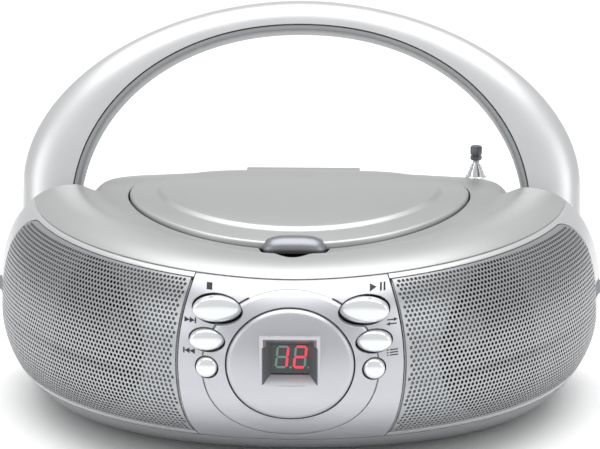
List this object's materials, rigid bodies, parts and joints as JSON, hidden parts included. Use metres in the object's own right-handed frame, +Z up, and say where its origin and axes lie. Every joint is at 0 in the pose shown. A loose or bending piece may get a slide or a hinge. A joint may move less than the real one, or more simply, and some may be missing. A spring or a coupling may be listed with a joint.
{
  "type": "portable cd radio",
  "caption": "Portable radio and compact disc player with a round top-loading lid, a speaker at each side of a button console, an arched carry handle and a telescopic aerial.",
  "frame": {"origin": "on the table under the middle of the object", "axes": "+Z up, the front with the display faces -Y, +X to the right as seen from the front"},
  "size_m": [0.28, 0.2448, 0.1761],
  "materials": {
    "satin_silver": "satin silver paint on moulded plastic",
    "grey_top": "satin grey metallic paint on moulded plastic",
    "base_grey": "matt grey moulding",
    "grey_plastic": "matt",
    "grille_metal": "perforated sheet, satin",
    "gloss_silver": "gloss silver",
    "black_plastic": "satin black",
    "steel": "plain",
    "magnet": "matt dark",
    "paper": "matt pressed paper",
    "chrome": "polished",
    "board": "circuit board laminate",
    "display": "dark red window",
    "rubber": "matt"
  },
  "bodies": {
    "cabinet": {"ac_inlet": "black_plastic", "aerial_bushing": "chrome", "aerial_tube": "chrome", "base_housing": "base_grey", "battery_bay": "black_plastic", "button_board": "board", "cd_chassis": "steel", "cd_well": "black_plastic", "console_panel": "satin_silver", "display_dial": "satin_silver", "display_module": "display", "finger_well": "black_plastic", "foot_front_left": "rubber", "foot_front_right": "rubber", "foot_rear_left": "rubber", "foot_rear_right": "rubber", "front_housing": "satin_silver", "guide_rod_front": "chrome", "guide_rod_rear": "chrome", "handle_pin_left": "steel", "handle_pin_right": "steel", "left_grille": "grille_metal", "left_speaker_cone": "paper", "left_speaker_frame": "steel", "left_speaker_magnet": "magnet", "lid_hinge_pin": "steel", "main_board": "board", "rear_housing": "satin_silver", "right_grille": "grille_metal", "right_speaker_cone": "paper", "right_speaker_frame": "steel", "right_speaker_magnet": "magnet", "sled_motor": "steel", "spindle_motor": "steel", "top_housing": "grey_top", "transformer": "magnet", "tuning_capacitor": "grey_plastic", "volume_control": "grey_plastic"},
    "handle": {"handle_shell": "satin_silver", "handle_strip": "grey_plastic"},
    "lid": {"cd_lid": "grey_top", "lid_liner": "black_plastic"},
    "clamp": {"disc_clamp": "black_plastic"},
    "turntable": {"turntable": "black_plastic"},
    "pickup": {"pickup_sled": "black_plastic"},
    "drive_gear": {"sled_gear": "black_plastic"},
    "volume": {"volume_wheel": "base_grey"},
    "tuning": {"tuning_wheel": "base_grey"},
    "function_selector": {"function_switch": "black_plastic"},
    "band_selector": {"band_switch": "black_plastic"},
    "aerial_first": {"aerial_lower": "chrome"},
    "aerial_second": {"aerial_middle": "chrome"},
    "aerial_third": {"aerial_tip": "chrome"},
    "door": {"battery_door": "satin_silver"},
    "stop": {"stop_button": "gloss_silver"},
    "play": {"play_button": "gloss_silver"},
    "skip_forward": {"skip_forward_button": "gloss_silver"},
    "mode": {"mode_button": "gloss_silver"},
    "skip_back": {"skip_back_button": "gloss_silver"},
    "program": {"program_button": "gloss_silver"}
  },
  "joints": [
    {"name": "handle_fold", "type": "hinge", "parent": "cabinet", "child": "handle", "pos_m": [0, 0.0378, 0.063], "axis": [-1, 0, 0], "range_deg": [0, 64]},
    {"name": "lid_open", "type": "hinge", "parent": "cabinet", "child": "lid", "pos_m": [0, 0.0918, 0.087], "axis": [-1, 0, 0], "range_deg": [0, 40]},
    {"name": "clamp_spin", "type": "hinge", "parent": "lid", "child": "clamp", "pos_m": [0, 0.0178, 0.09], "axis": [0, 0, 1], "continuous": true},
    {"name": "turntable_spin", "type": "hinge", "parent": "cabinet", "child": "turntable", "pos_m": [0, 0.0178, 0.082], "axis": [0, 0, 1], "continuous": true},
    {"name": "pickup_travel", "type": "slide", "parent": "cabinet", "child": "pickup", "axis": [1, 0, 0], "range_m": [0, 0.016]},
    {"name": "drive_gear_turn", "type": "hinge", "parent": "cabinet", "child": "drive_gear", "pos_m": [0.036, -0.0146, 0.0695], "axis": [0, 0, 1], "range_deg": [-115, 0]},
    {"name": "stop_press", "type": "slide", "parent": "cabinet", "child": "stop", "axis": [0, 1, 0], "range_m": [0, 0.0015], "stiffness_N_per_m": 300},
    {"name": "play_press", "type": "slide", "parent": "cabinet", "child": "play", "axis": [0, 1, 0], "range_m": [0, 0.0015], "stiffness_N_per_m": 300},
    {"name": "skip_forward_press", "type": "slide", "parent": "cabinet", "child": "skip_forward", "axis": [0, 1, 0], "range_m": [0, 0.0015], "stiffness_N_per_m": 300},
    {"name": "mode_press", "type": "slide", "parent": "cabinet", "child": "mode", "axis": [0, 1, 0], "range_m": [0, 0.0015], "stiffness_N_per_m": 300},
    {"name": "skip_back_press", "type": "slide", "parent": "cabinet", "child": "skip_back", "axis": [0, 1, 0], "range_m": [0, 0.0015], "stiffness_N_per_m": 300},
    {"name": "program_press", "type": "slide", "parent": "cabinet", "child": "program", "axis": [0, 1, 0], "range_m": [0, 0.0015], "stiffness_N_per_m": 300},
    {"name": "volume_turn", "type": "hinge", "parent": "cabinet", "child": "volume", "pos_m": [-0.13109, 0.012, 0.0544], "axis": [0, 0, 1], "range_deg": [-135, 135]},
    {"name": "tuning_turn", "type": "hinge", "parent": "cabinet", "child": "tuning", "pos_m": [0.13109, 0.012, 0.0544], "axis": [0, 0, 1], "range_deg": [-135, 135]},
    {"name": "function_slide", "type": "slide", "parent": "cabinet", "child": "function_selector", "axis": [1, 0, 0], "range_m": [-0.004, 0.004]},
    {"name": "band_slide", "type": "slide", "parent": "cabinet", "child": "band_selector", "axis": [1, 0, 0], "range_m": [-0.004, 0.004]},
    {"name": "aerial_first_draw", "type": "slide", "parent": "cabinet", "child": "aerial_first", "axis": [0, 0, 1], "range_m": [0, 0.055]},
    {"name": "aerial_second_draw", "type": "slide", "parent": "aerial_first", "child": "aerial_second", "axis": [0, 0, 1], "range_m": [0, 0.055]},
    {"name": "aerial_third_draw", "type": "slide", "parent": "aerial_second", "child": "aerial_third", "axis": [0, 0, 1], "range_m": [0, 0.055]},
    {"name": "door_pull", "type": "slide", "parent": "cabinet", "child": "door", "axis": [0, 1, 0], "range_m": [0, 0.015]}
  ],
  "couplings": [
    {"joint": "drive_gear_turn", "follows": "pickup_travel", "rad_per_m": -125}
  ]
}
